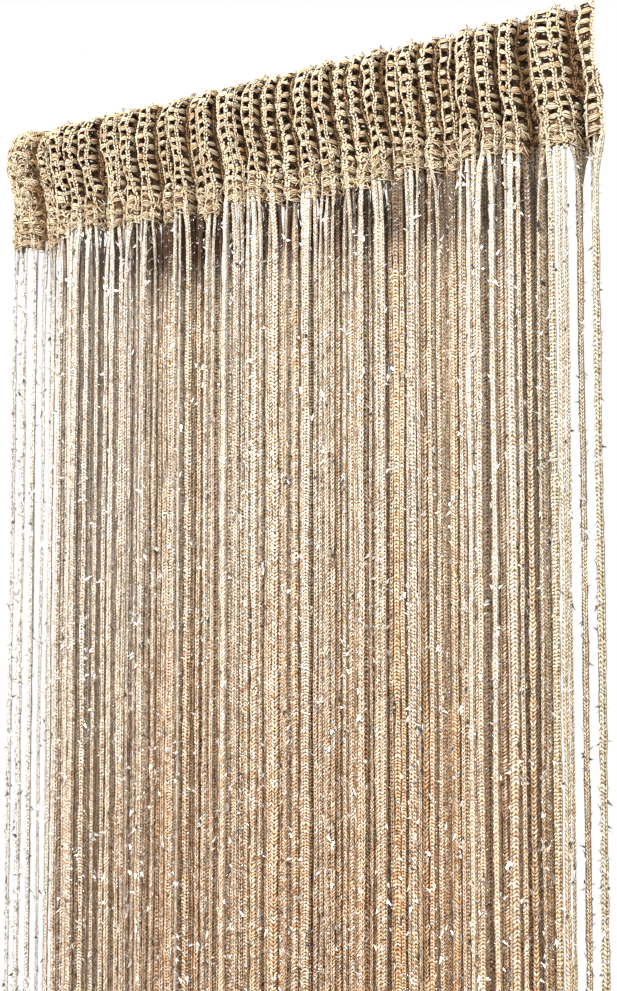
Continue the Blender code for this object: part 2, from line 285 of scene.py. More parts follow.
class Nodes:
    def __init__(self, tree):
        self.tree = tree

    def node(self, kind, settings=None, sockets=None, out=0):  # its output number out, or all for None
        made = self.tree.nodes.new("ShaderNode" + kind)
        for name, value in (settings or {}).items():
            setattr(made, name, value)
        for name, value in (sockets or {}).items():
            plug(self.tree, value, made.inputs[name])
        wires = [Wire(self.tree, socket) for socket in made.outputs]
        return wires if out is None else wires[out]


class Finish(Nodes):
    def __init__(self, name, **shader):
        self.material = bpy.data.materials.new(name)
        self.material.use_nodes = True
        super().__init__(self.material.node_tree)
        self.shader = self.tree.nodes["Principled BSDF"]
        self.set(**shader)

    def set(self, **sockets):
        for name, value in sockets.items():
            plug(self.tree, value, self.shader.inputs[name.replace("_", " ")])

    def blendColours(self, share, first, second, blend="MIX"):
        first, second = (rgb(*yarn[item]) if isinstance(item, str) else item for item in (first, second))
        settings = {"data_type": "RGBA", "blend_type": blend}
        return self.node("Mix", settings, {0: share, 6: first, 7: second}, out=2)

    def layers(self, base, *coats):  # each coat is its share, its colour and its blend, if not MIX
        for share, colour, *blend in coats:
            base = self.blendColours(share, base, colour, *blend)
        return base

    def step(self, value, low, high, start=0.0, end=1.0):
        settings = {"interpolation_type": "SMOOTHSTEP"}
        return self.node("MapRange", settings, {0: value, 1: low, 2: high, 3: start, 4: end})

    def noise(self, scale, detail=2.0, vector=None):
        sockets = {"Scale": scale, "Detail": detail, "Vector": vector or self.place()}
        return self.node("TexNoise", {}, sockets)

    def place(self):
        return self.node("TexCoord", out=3)

    def yarnMap(self):
        return self.node("UVMap", {"uv_map": "yarnMap"})

    def split(self, vector):
        return self.node("SeparateXYZ", {}, {0: vector}, out=None)

    def join(self, x, y, z=0.0):
        return self.node("CombineXYZ", {}, {0: x, 1: y, 2: z})

    def yarnTone(self):  # tone of the yarn, how open to the light it lies, its number, how far into the painted light and shade of the fringe's ends it lies
        colour, endLight = self.node("VertexColor", {"layer_name": "yarnTone"}, out=None)
        return [*self.node("SeparateColor", {}, {0: colour}, out=None), endLight]

    def shaded(self, base, share):  # painted shade: in the folds the colour goes warm brown first, then dark
        return self.layers(base, (self.step(share, 0.0, 0.5), "warmShade", "MULTIPLY"),
                           (self.step(share, 0.25, 1.0), "deepShade", "MULTIPLY"))

    def bump(self, height, distance, strength=1.0):
        sockets = {"Height": height, "Distance": distance, "Strength": strength}
        self.set(Normal=self.node("Bump", {}, sockets))


def rgb(red, green, blue):
    return (red, green, blue, 1.0)


# The colours of the yarn and the tinsel, and those that tint them
yarn = {
    # the heading's and the strings' own colours; ember and peach give the strings' painted warm shade
    # towards the foot
    "brown": (0.34, 0.18, 0.080), "tan": (0.60, 0.43, 0.24), "gold": (0.76, 0.65, 0.465),
    "cream": (0.81, 0.76, 0.59), "straw": (0.84, 0.81, 0.69), "pale": (0.99, 0.935, 0.81),
    "ember": (0.42, 0.235, 0.110), "peach": (0.86, 0.705, 0.495),
    # painted shade between the yarns and under the hem
    "warmShade": (0.78, 0.60, 0.42), "deepShade": (0.23, 0.16, 0.11), "shade": (0.062, 0.034, 0.018),
    "hemShadow": (0.052, 0.021, 0.007), "grooveShadeAndDarkFibre": (0.085, 0.043, 0.019),
    # light and dark spots of the strings
    "fleck": (0.99, 0.96, 0.90), "chalk": (0.99, 0.98, 0.95), "smudge": (0.58, 0.48, 0.38),
    "lightLoop": (0.99, 0.97, 0.92), "darkLoop": (0.46, 0.335, 0.21),
    # tints of whole parts, and painted shade and light on some: behind, at the foot, at the right end
    # and towards the left
    "knitTint": (0.94, 0.93, 0.90), "cordTint": (0.925, 0.91, 0.91), "behindShade": (0.98, 0.70, 0.41),
    "footShadeTint": (0.90, 0.755, 0.625), "rightShadeTint": (0.80, 0.80, 0.72), "leftPaintedLight": (0.99, 0.97, 0.93),
    # painted light and shade at both ends of the fringe: overexposed at the left end, and at the right
    # end lighter on strings behind, darker on front ones
    "leftEnd": (0.92, 0.93, 0.93), "leftOverexposed": (0.97, 0.97, 0.96), "leftDash": (0.15, 0.14, 0.11),
    "rightBehind": (0.92, 0.89, 0.75), "rightFront": (0.66, 0.645, 0.52),
    # the metallic thread and the tinsel, whose dark slivers are a painted dark reflection
    "thread": (0.93, 0.92, 0.91), "foilDarkReflection": (0.10, 0.09, 0.085), "foilLight": (0.97, 0.97, 0.97),
}


def newMesh(name, points, faces, finish, tone, uv=None, flat=False):
    faces = faces if isinstance(faces, list) else faces.tolist()
    mesh = bpy.data.meshes.new(name)
    mesh.from_pydata(points.reshape(-1, 3).tolist(), [], faces)
    piece = bpy.data.objects.new(name, mesh)
    bpy.context.scene.collection.objects.link(piece)
    if not flat:
        mesh.polygons.foreach_set("use_smooth", np.ones(len(mesh.polygons), dtype=bool))
    paint(mesh, uv, tone)
    return dress(piece, finish)


def paint(mesh, uv, tone):  # the yarn's map, with a place for each corner, and its tone at each point
    if uv is not None:
        layer = mesh.uv_layers.active or mesh.uv_layers.new()
        layer.name = "yarnMap"
        layer.data.foreach_set("uv", np.asarray(uv, dtype=np.float32).ravel())
    layer = mesh.color_attributes.new("yarnTone", "FLOAT_COLOR", "POINT")
    layer.data.foreach_set("color", np.asarray(tone, dtype=np.float32).ravel())


def pointsOf(mesh):
    points = np.empty(len(mesh.vertices) * 3)
    mesh.vertices.foreach_get("co", points)
    return points.reshape(-1, 3)


def dress(piece, finish):
    piece.data.materials.clear()
    piece.data.materials.append(finish.material)
    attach(piece, "root")
    print(piece.name, "faces", len(piece.data.polygons))
    return piece


def takeUnit(piece):  # the points and faces of a shape that is modelled once, then copied
    bpy.ops.object.mode_set(mode="OBJECT")
    points = pointsOf(piece.data)
    faces = [list(face.vertices) for face in piece.data.polygons]
    bpy.data.objects.remove(piece, do_unlink=True)
    triangles = []
    for face in faces:
        triangles += [(face[0], face[slot], face[slot + 1]) for slot in range(1, len(face) - 1)]
    return points, np.array(triangles)


def copyFaces(faces, count, pointCount):
    return (faces[None] + (np.arange(count) * pointCount)[:, None, None]).reshape(-1, faces.shape[1])


def joinCopies(name, places, faces, finish, along, across, tone):  # copies of one shape, as one piece
    count, pointCount = places.shape[:2]
    spread = [np.broadcast_to(values, (count, pointCount)) for values in (along, across)]
    uv = np.stack(spread, axis=-1).reshape(-1, 2)
    allFaces = copyFaces(faces, count, pointCount)
    return newMesh(name, places, allFaces, finish, uv=uv[allFaces.ravel()],
                   tone=tone.reshape(-1, 4))


def editing():
    bpy.ops.object.mode_set(mode="EDIT")
    bpy.ops.mesh.select_all(action="SELECT")
    return bpy.context.active_object


def selectPoints(piece, chosen):  # in edit mode, selects the points that a test of their place picks
    bpy.ops.mesh.select_mode(type="VERT")
    bpy.ops.mesh.select_all(action="DESELECT")
    bpy.ops.object.mode_set(mode="OBJECT")
    for point in piece.data.vertices:
        point.select = chosen(point.co)
    bpy.ops.object.mode_set(mode="EDIT")


def headingFinish(name, low, high, roughness, stretch, satin=0.0):
    finish = Finish(name, Sheen_Weight=0.05, Sheen_Roughness=0.4, Specular_IOR_Level=0.15 + satin * 0.2)
    tone, open, _, _ = finish.yarnTone()
    patch = finish.noise(110.0, 3.0)
    speck = finish.noise(900.0, 2.0)
    along, across, _ = finish.split(finish.yarnMap())
    strands = finish.noise(1.0, 2.0, finish.join(along * stretch[0], across * stretch[1], tone * 40))
    base = finish.layers(
        finish.blendColours(finish.step(tone * 0.55 + patch * 0.45, 0.25, 0.75), low, high),
        (finish.step(speck, 0.56, 0.74, 0.0, 0.55), "straw"),
        (finish.step(strands, 0.62, 0.35, 0.0, 0.6), "brown"),
    )
    # painted highlight: the middle of each rung is painted lighter, as a satin sheen
    if satin:
        paintedSheen = finish.step(abs(along - 3), 1.9, 0.5) * finish.step(tone, 0.35, 0.75, 0.1, satin)
        base = finish.layers(base, (paintedSheen, "straw"))
    base = finish.layers(base, (1.0, "knitTint", "MULTIPLY"))
    # painted shade in the folds, by how open to the light the yarn lies
    base = finish.shaded(base, finish.step(open, 0.0, 0.85, 0.76, 0.0))
    finish.set(Base_Color=base, Roughness=strands * 0.3 + roughness)
    finish.bump(strands * 0.7 + speck * 0.3, 0.0004, 0.8)
    return finish


stitchFinish = headingFinish("stitchYarn", "gold", "straw", 0.48, (6.0, 1.5))
rungFinish = headingFinish("rungYarn", "tan", "cream", 0.30, (1.2, 14.0), satin=0.85)


def groundFinish():
    finish = Finish("groundYarn", Specular_IOR_Level=0.1, Roughness=0.85)
    tone, open, _, _ = finish.yarnTone()
    along, up, _ = finish.split(finish.yarnMap())
    ragged = finish.noise(700.0, 2.0)
    acrossCell = (along.fraction() - 0.5) * 2
    upCell = ((up / ground["rungPitch"] + ground["gapShift"]).fraction() - 0.5) * 2
    back = up > topPath
    leftEnd = finish.step(along, ground["closedRibs"], ground["closedRibs"] - 1.0)
    wide = abs(acrossCell) / (ground["gapWide"] - back * ground["backLess"])
    high = abs(upCell) / (ground["gapHigh"] - back * ground["backLess"])
    reach = wide * wide * wide + high * high + (ragged - 0.5) * 0.9
    dense = finish.step(up, ground["denseTop"], ground["denseTop"] + 0.004)
    denseBack = finish.step(up, pathLength - ground["denseTop"], pathLength - ground["denseTop"] - 0.006)
    solid = (reach > 1.0).most(1 - dense * denseBack).most(leftEnd)
    # painted shade: mostly dark brown, and darker still in the folds
    base = finish.blendColours(finish.step(ragged, 0.52, 0.80), "shade", "tan")
    base = finish.layers(base, (finish.step(open, 0.0, 0.85, 0.8, 0.0), "shade"))
    finish.set(Base_Color=base, Alpha=solid)
    finish.bump(ragged, 0.0005, 0.7)
    return finish


# The openwork ground: one flat cloth laid on the folds, with its gaps left open, painted dark as the
# shade inside the sleeve
ground = {
    "grid": (436, 34), "lift": -0.35 * mm, "rungPitch": 0.00670, "gapShift": 0.5, "tone": 0.3,
    "gapWide": 0.66, "gapHigh": 0.56, "backLess": 0.38, "closedRibs": 5.6, "denseTop": 0.015,
}


def makeGround():
    columns, rows = ground["grid"]
    bpy.ops.mesh.primitive_grid_add(x_subdivisions=columns, y_subdivisions=rows, size=2)
    piece = bpy.context.active_object
    piece.name = piece.data.name = "headingGround"
    mesh = piece.data
    flat = pointsOf(mesh)
    rib = (flat[:, 0] + 1) / 2 * lastRib
    path = (flat[:, 1] + 1) / 2 * pathLength
    mesh.vertices.foreach_set("co", layOn(rib, path, np.full(len(rib), ground["lift"])).ravel())
    corner = np.empty(len(mesh.loops), dtype=int)
    mesh.loops.foreach_get("vertex_index", corner)
    paint(mesh, np.stack([rib[corner], path[corner]], axis=-1), toneOf(rib, path, ground["tone"]))
    bpy.ops.object.shade_smooth()
    mesh.update()
    return dress(piece, groundFinish())


# how open to the light the knit lies; from it shade is painted into its colour in the folds and near the
# hems
openness = {"backCrest": 0.9, "gain": 1.35, "loss": 0.12, "hemLoss": 0.10, "hemReach": 0.02}


def toneOf(rib, path, tone, creaseLight=1.0):  # tone, openness to the light for painted shade, nought and one
    crest = crestShare(np.clip(rib, 0, lastRib))
    depth = np.where(path < topPath, crest, 1 - crest * openness["backCrest"])
    near = smooth(np.minimum(path, pathLength - path) / openness["hemReach"])
    open = smooth(depth * openness["gain"] - openness["loss"]) * creaseLight
    open = open * (1 - openness["hemLoss"] * (1 - near))
    tone = np.broadcast_to(tone, open.shape)
    return np.stack([tone, open, open * 0, open * 0 + 1], axis=-1)


headingGround = makeGround()

# Chain-stitch ribs: a grain of yarn is modelled once and copied in pairs up every rib
grain = {
    "size": (0.95 * mm, 1.05 * mm, 2.20 * mm), "pitch": 1.90 * mm, "apart": 0.70 * mm,
    "tilt": 24.0, "lift": 0.40 * mm, "uneven": 0.16 * mm, "creaseLightIn": 0.16, "seed": 5,
    "offPath": 0.18 * mm, "startOff": 2 * mm, "tiltOff": 7, "sizes": (0.88, 1.15), "tone": (0.62, 0.26),
    "past": 0.0015, "spread": (0.8, 2.2),  # past the hems, and widened where the cloth is drawn in
    "bellyHalf": 0.88 * mm, "belly": (1.15, 1.15, 1.3), "bulge": 0.12 * mm,
}


def makeGrain(sides):
    bpy.ops.mesh.primitive_uv_sphere_add(segments=sides, ring_count=3, radius=0.5)
    piece = editing()
    bpy.ops.transform.resize(value=grain["size"], center_override=(0, 0, 0))
    selectPoints(piece, lambda place: abs(place.z) < grain["bellyHalf"])
    bpy.ops.transform.resize(value=grain["belly"], center_override=(0, 0, 0))
    bpy.ops.transform.translate(value=(0, grain["bulge"], 0))
    return takeUnit(piece)


def stitchRibs(name, start, end, sides):
    chance = np.random.default_rng(grain["seed"] + int(start * 1000))
    points, faces = makeGrain(sides)
    out = (points[:, 1] - points[:, 1].min()) / np.ptp(points[:, 1])
    # painted shade: the inner side of each grain lies less open to the light
    creaseLight = grain["creaseLightIn"] + (1 - grain["creaseLightIn"]) * smooth(out * 1.3 - 0.15)
    steps = np.arange(start, end, grain["pitch"])
    rib, path, side = np.meshgrid(np.arange(cloth["ribCount"]), steps, (-1.0, 1.0), indexing="ij")
    rib, path, side = (values.ravel().astype(float) for values in (rib, path, side))
    count = len(rib)
    path = path + chance.normal(0, grain["offPath"], count)
    startOff = chance.uniform(0, grain["startOff"], cloth["ribCount"])
    path = path + np.repeat(startOff, count // cloth["ribCount"])
    angle = np.radians(grain["tilt"] * side + chance.normal(0, grain["tiltOff"], count))
    size = chance.uniform(*grain["sizes"], (count, 1))
    x = points[None, :, 0] * size
    z = points[None, :, 2] * size
    across = x * np.cos(angle)[:, None] + z * np.sin(angle)[:, None]
    up = z * np.cos(angle)[:, None] - x * np.sin(angle)[:, None]
    across = across + (side * grain["apart"])[:, None] + chance.normal(0, grain["uneven"], (count, 1))
    lift = points[None, :, 1] * size + grain["lift"] + chance.normal(0, grain["uneven"], (count, 1))
    ribs = rib[:, None] + across / cloth["ladderPitch"] * ribSpread(rib, path)[:, None]
    paths = path[:, None] + up
    places = layOn(ribs, paths, lift)
    tone = toneOf(ribs, paths, np.clip(chance.normal(*grain["tone"], (count, 1)), 0, 1), creaseLight[None])
    return joinCopies(name, places, faces, stitchFinish, points[:, 0] / mm, points[:, 2] / mm, tone)


def ribSpread(rib, path):  # ribs keep their width where the cloth is drawn in along the curtain
    a = np.clip((rib / ribStep).astype(int), 1, len(fineRibs) - 2)
    b = np.clip((path / (finePath[1] - finePath[0])).astype(int), 0, len(finePath) - 1)
    real = np.linalg.norm(clothNet[a + 1, b] - clothNet[a - 1, b], axis=-1) / (2 * ribStep)
    return np.clip(cloth["ladderPitch"] / np.maximum(real, 1e-4), *grain["spread"])


turnPath = topPath + cloth["turnPast"]  # where the front's yarns end and the back's plainer ones begin
ribsFront = stitchRibs("ribStitchesFront", -grain["past"], turnPath, 4)
ribsBack = stitchRibs("ribStitchesBack", turnPath, pathLength + grain["past"], 3)

# Rungs: bundles of satiny yarn between the ribs, pinched at their ends and fanned in the middle
rung = {
    "width": 0.86 * mm, "backWidth": 1.118 * mm, "thick": 0.75 * mm, "pitch": 6.70 * mm,
    "first": 3.3 * mm, "pinched": 0.35 * mm, "fanned": 0.90 * mm, "arch": 0.70 * mm, "slant": 1.9 * mm,
    "inset": 0.10, "creaseLightIn": 0.18, "lean": (0.55, 0.45, 1.3), "tone": (0.60, 0.18, 0.28),
    "pull": 0.45 * mm, "short": 0.001, "endThick": 0.75, "belly": 0.35, "seed": 11,
    "denseFan": 1.4, "fanOff": 0.12 * mm, "archLess": 0.35, "archOff": 0.10 * mm, "lift": 0.15 * mm,
}


def makeRungYarn(cuts):
    bpy.ops.mesh.primitive_cylinder_add(vertices=3, radius=0.5, depth=1)
    piece = editing()
    bpy.ops.transform.rotate(value=math.pi / 2, orient_axis="Y", center_override=(0, 0, 0))
    bpy.ops.transform.translate(value=(0.5, 0, 0))
    for cut in cuts:
        bpy.ops.object.mode_set(mode="OBJECT")
        editing()
        bpy.ops.mesh.bisect(plane_co=(cut, 0, 0), plane_no=(1, 0, 0))
    return takeUnit(piece)


def layYarns(name, table, width, thick, finish, cuts=(1 / 3, 2 / 3)):  # a yarn for each row of the table
    points, faces = makeRungYarn(cuts)
    # painted shade: the back of each yarn lies less open to the light
    creaseLight = np.where(points[:, 1] > 0, 1.0, rung["creaseLightIn"])
    along = points[None, :, 0]
    bow = np.sin(math.pi * along)
    swell = rung["endThick"] + rung["belly"] * bow
    rib0, rib1, path0, path1, bowUp, bowOut, lift, tone = table.T[:, :, None]
    ribs = rib0 + (rib1 - rib0) * along
    paths = path0 + (path1 - path0) * along + bowUp * bow + points[None, :, 2] * width * swell
    places = layOn(ribs, paths, lift + bowOut * bow + points[None, :, 1] * thick * swell)
    tones = toneOf(ribs, paths, tone, creaseLight[None])
    return joinCopies(name, places, faces, finish, along * 6, points[None, :, 2] * width / mm, tones)


def rungTable(start, end, seed, yarns):
    chance = np.random.default_rng(seed)
    table = []
    steps = np.arange(start, end, rung["pitch"])
    cellLean, rungLean, mostLean = rung["lean"]
    meanTone, rungTone, yarnTone = rung["tone"]
    for cell in range(lastRib):
        lean = chance.normal(0, cellLean)
        for path in steps:
            slant = rung["slant"] * np.clip(lean + chance.normal(0, rungLean), -mostLean, mostLean)
            tone = np.clip(chance.normal(meanTone, rungTone), 0, 1)
            dense = min(path, pathLength - path) < ground["denseTop"]
            pull = chance.normal(0, rung["pull"])
            for slot in range(yarns):
                spread = (slot / (yarns - 1) - 0.5) * 2
                middle = path + spread * rung["pinched"] + pull
                fan = spread * rung["fanned"] * (rung["denseFan"] if dense else 1.0)
                fan = fan + chance.normal(0, rung["fanOff"])
                arch = rung["arch"] * (1 - rung["archLess"] * spread * spread)
                arch = arch + chance.normal(0, rung["archOff"])
                table.append((cell + rung["inset"], cell + 1 - rung["inset"], middle - slant / 2,
                              middle + slant / 2, fan, arch, rung["lift"],
                              np.clip(tone + chance.normal(0, yarnTone), 0, 1)))
    return np.array(table)


frontTable = rungTable(rung["first"], topPath - rung["short"], rung["seed"], 4)
backTable = rungTable(turnPath, pathLength - rung["short"], rung["seed"] + 1, 3)
rungsFront = layYarns("rungYarnsFront", frontTable, rung["width"], rung["thick"], rungFinish)
rungsBack = layYarns("rungYarnsBack", backTable, rung["backWidth"], rung["thick"], rungFinish, (1 / 2,))

# Knotted yarns on the lower rows, the top edge and the left end, and bridges under the hem
knot = {
    "hemYarns": 2500, "topYarns": 480, "bridges": 150, "endYarns": 900, "width": 0.85 * mm,
    "thick": 0.75 * mm, "long": (0.16, 0.60), "bowUp": 2.3 * mm, "bowOut": (0.7 * mm, 0.5 * mm),
    "lift": (0.3 * mm, 1.1 * mm), "climb": 6.5 * mm, "tone": (0.62, 0.28), "seed": 23,
    "hemPath": (0.0070, 0.0075), "hemLeast": 0.0005, "backShare": 0.35,
    "topPath": (-0.0015, 0.0025), "topClimb": 3.0 * mm, "topBow": (1.6 * mm, 1.1 * mm),
    "endRibs": 7.5, "endLong": (0.2, 0.6), "endPath": (0.004, 0.010), "bridgePath": 0.001,
    "bridgeLong": (0.4, 1.1), "bridgeClimb": 2.0 * mm, "bridgeBow": (1.5 * mm, 1.2 * mm),
}


def knotTable():
    chance = np.random.default_rng(knot["seed"])
    table = []
    topFrom = knot["hemYarns"]
    bridgeFrom = topFrom + knot["topYarns"]
    endFrom = bridgeFrom + knot["bridges"]
    for number in range(endFrom + knot["endYarns"]):
        rib = chance.uniform(0.1, lastRib - 1.1)
        length = chance.uniform(*knot["long"])
        bowUp = chance.normal(0, knot["bowUp"])
        bowOut = abs(chance.normal(*knot["bowOut"]))
        lift = chance.uniform(*knot["lift"])
        if number < topFrom:
            path = abs(chance.normal(*knot["hemPath"])) + knot["hemLeast"]
            if chance.random() < knot["backShare"]:
                path = pathLength - path
            climb = chance.uniform(-1, 1) * knot["climb"]
        elif number < bridgeFrom:
            path = topPath + chance.normal(*knot["topPath"])
            climb = chance.uniform(-1, 1) * knot["topClimb"]
            bowOut = abs(chance.normal(*knot["topBow"]))
        elif number < endFrom:
            path = chance.uniform(-knot["bridgePath"], knot["bridgePath"])
            length = chance.uniform(*knot["bridgeLong"])
            climb = chance.uniform(-1, 1) * knot["bridgeClimb"]
            bowUp = -abs(chance.normal(*knot["bridgeBow"]))
        else:
            rib = knot["endRibs"] * chance.random() ** 1.5
            path = chance.uniform(knot["endPath"][0], topPath + knot["endPath"][1])
            length = chance.uniform(*knot["endLong"])
            climb = chance.uniform(-1, 1) * knot["climb"]
        table.append((rib, rib + length, path - climb / 2, path + climb / 2, bowUp, bowOut, lift,
                      np.clip(chance.normal(*knot["tone"]), 0, 1)))
    return np.array(table)


knots = layYarns("knottedYarns", knotTable(), knot["width"], knot["thick"], stitchFinish)

# The strings: one from the foot of each rib and one from between each two, near the solid's routes
strings = {
    # their routes in the solid
    "width": 0.0024, "clear": 0.0034, "castGap": 0.0003, "spreadAngle": 31.5, "pushRounds": 12,
    "pushWindow": 14, "ragged": 0.004, "seed": 41,
    "bends": ((0.190, 0.6 * mm, 10), (2.000, 1.0 * mm, 1)),  # depth, how far off, rounds of spreading
    # how they close up and part as the camera sees them, how they wander and how they leave the ribs
    "closeRounds": 80, "closeShare": 0.45, "cover": 0.62, "stray": 1.4 * mm, "straySeed": 19,
    "press": 0.90, "partRounds": 40, "partShare": 0.25,
    "spreadEarly": 9.0, "wander": 0.28 * mm, "wanderWave": (0.11, 0.42), "wanderFrom": 0.10,
    "rootUp": 0.007, "onRib": (0.001, 0.2 * mm), "leaveRib": (0.004, 0.03),
    # how thick they are, how thin or wide under the hem, and how finely they are made
    "radius": 1.72 * mm, "thick": (1.0, 0.27), "thickLimits": (0.60, 1.50), "uneven": 0.28,
    "endRadius": ((-0.21, -0.15, 0.10, 0.20), (0.74, 0.90, 1.0, 0.92)),
    "innerRoot": (0.010, 0.008), "shadedWide": 0.40, "thinFoot": 0.30, "footReach": 0.050,
    "pieces": 4, "sides": 6, "pathSeed": 2000, "meshSeed": 1000, "endThick": (0.6, 0.35),
    "fine": 0.0085, "fineSpread": (0.65, 1.35), "fineTo": -0.66, "coarse": 0.040, "tip": 0.003,
    "numberStep": 0.618,
    # their tone, stitches and openness to the light, and how far both ends of the fringe reach
    "tone": 0.32, "toneBlend": (0.35, 0.45, 0.35), "openTone": 0.16, "endTone": 0.25, "toneSeed": 7,
    "pitch": (1.90, 2.50), "open": (0.55, 0.014, 0.030), "endFrom": 0.215, "endReach": (0.052, 0.024),
    "seenAt": {  # where the photo shows the strings at both ends, in its pixels from the left
        0: 20, 1: 12.5, 2: 11.5, 3: 13, 4: 20.5, 5: 22, 6: 31.5, 7: 33, 8: 41.5, 9: 49, 10: 50, 11: 51,
        12: 57, 16: 56.5, 17: 58, 207: 564, 208: 570, 209: 584, 210: 584.5, 211: 584, 212: 583.5,
        213: 599, 214: 600, 215: 599, 216: 599, 217: 600, 218: 600.5,
    },
}
halfCount = 2 * lastRib + 1
hemLine = clothRow(np.arange(halfCount) / 2, 0)


def stringRoots():
    reach = strings["width"] / cloth["ladderPitch"]
    halves = np.arange(halfCount)
    middle = np.clip(halves, reach, halfCount - 1 - reach)

    def hemAt(places):
        return np.stack([np.interp(places, halves, column) for column in hemLine.T], axis=-1)

    left, right = hemAt(middle - reach), hemAt(middle + reach)
    top = np.minimum(np.minimum(left, right), hemLine)[:, 2] - strings["castGap"]
    return np.column_stack([(left + right)[:, :2] / 2, top])


def spreadOut(places, rounds):
    angle = math.radians(strings["spreadAngle"])
    across = np.array((math.cos(angle), math.sin(angle)))
    for _ in range(rounds):
        seen = places @ across
        order = np.argsort(seen)
        drift = (seen[order[:-2]] + seen[order[2:]]) / 2 - seen[order[1:-1]]
        places[order[1:-1]] += across * drift[:, None] / 2
    return places


def pushApart(places):
    for _ in range(strings["pushRounds"]):
        for number in range(len(places)):
            here = places[number].copy()
            for other in range(number + 1, min(number + strings["pushWindow"], len(places))):
                gap = places[other] - here
                distance = math.hypot(*gap)
                short = strings["clear"] - distance
                if short > 0:
                    move = gap / distance * short / 2
                    places[other] = places[other] + move
                    here = here - move
            places[number] = here
    return places


def stringBends(roots):
    chance = random.Random(strings["seed"])
    places = roots[:, :2]
    bends = []
    for depth, off, rounds in strings["bends"]:
        places = places + [(chance.uniform(-off, off), chance.uniform(-off, off)) for _ in roots]
        places = pushApart(spreadOut(places, rounds))
        bends.append(np.column_stack([places, np.full(halfCount, -depth)]))
    bends[-1][:, 2] += [chance.uniform(0, strings["ragged"]) for _ in roots]
    return bends


def asSeen(places):  # how far right and how far away the camera sees each place
    turn = math.radians(camera["turn"])
    right = np.array((math.cos(turn), math.sin(turn)))
    away = places[:, :2] - np.array(camera["place"][:2])
    distance = away @ np.array((-right[1], right[0]))
    return away @ right / distance, distance, right


def closeGaps(places):  # strings close up until the camera sees no light between them, but at both ends
    seen, distance, right = asSeen(places)
    before = seen.copy()
    chance = np.random.default_rng(strings["straySeed"])
    seen = seen + chance.normal(0, strings["stray"], len(places)) / distance
    ends = list(strings["seenAt"])
    inner = np.array([number not in ends for number in range(len(places))])
    for _ in range(strings["closeRounds"]):
        order = np.argsort(seen)
        order = order[inner[order]]
        cover = (stringRadius[order][1:] + stringRadius[order][:-1]) * strings["cover"]
        cover = cover / distance[order][1:]
        over = np.clip(np.diff(seen[order]) - cover, 0, None) * strings["closeShare"]
        seen[order[:-1]] += over
        seen[order[1:]] -= over
    seen[ends] = (np.array(list(strings["seenAt"].values())) - camera["photoMiddle"]) / camera["focus"]
    places[:, :2] += right * ((seen - before) * distance)[:, None]
    return places


def partInDepth(places):  # strings that press into each other part along the camera's lines of sight
    sight = places[:, :2] - np.array(camera["place"][:2])
    sight /= np.linalg.norm(sight, axis=1, keepdims=True)
    across = np.stack([-sight[:, 1], sight[:, 0]], axis=-1)
    reach = (stringRadius[:, None] + stringRadius[None]) * strings["press"]
    first = np.sign(np.arange(len(places))[:, None] - np.arange(len(places))[None])
    for _ in range(strings["partRounds"]):
        gap = places[:, None, :2] - places[None, :, :2]
        side = np.einsum("ijk,ik->ij", gap, across)
        deep = np.einsum("ijk,ik->ij", gap, sight)
        short = np.sqrt(np.maximum(reach ** 2 - side ** 2, 0)) - np.abs(deep)
        push = np.where((short > 0) & (first != 0), short * np.where(deep == 0, first, np.sign(deep)), 0)
        places[:, :2] += sight * push.sum(axis=1, keepdims=True) * strings["partShare"]
    return places


roots = stringRoots()
bends = stringBends(roots)
bendX, bendY = bends[0][:, 0], bends[0][:, 1]
chance = np.random.default_rng(strings["toneSeed"])
# painted shade: strings deeper in the fringe lie less open to the light, which darkens their tone and
# colour
depthIn = bendY - np.median(bendY)
middleOpen, frontReach, backReach = strings["open"]
stringOpen = middleOpen - np.where(depthIn < 0, depthIn / frontReach, -depthIn / backReach)
stringOpen = np.clip(stringOpen, 0, 1)
stringTone = np.empty(halfCount)
stringTone[np.argsort(asSeen(bends[0])[0])] = np.convolve(
    chance.normal(0, strings["tone"], halfCount), strings["toneBlend"], "same")
stringTone = np.clip(0.50 + stringTone + strings["openTone"] * (stringOpen - 0.5), 0.05, 1)
# painted light: strings near both ends of the fringe get a lighter tone
endReach = np.where(bendX < 0, *strings["endReach"])
endShare = 1 - smooth((strings["endFrom"] - np.abs(bendX)) / endReach)
stringTone = np.clip(stringTone + strings["endTone"] * endShare, 0, 1)
stringRadius = np.clip(chance.normal(*strings["thick"], halfCount), *strings["thickLimits"])
stringRadius = strings["radius"] * stringRadius * np.interp(bendX, *strings["endRadius"])
innerFrom, innerReach = strings["innerRoot"]
rootIn = smooth((roots[:, 1] + innerFrom) / innerReach)
shift = partInDepth(closeGaps(bends[0].copy())) - bends[0]
bends = [places + shift for places in bends]
wanderWave = chance.uniform(*strings["wanderWave"], (halfCount, 2))
wanderStart = chance.uniform(0, 2 * math.pi, (halfCount, 2))


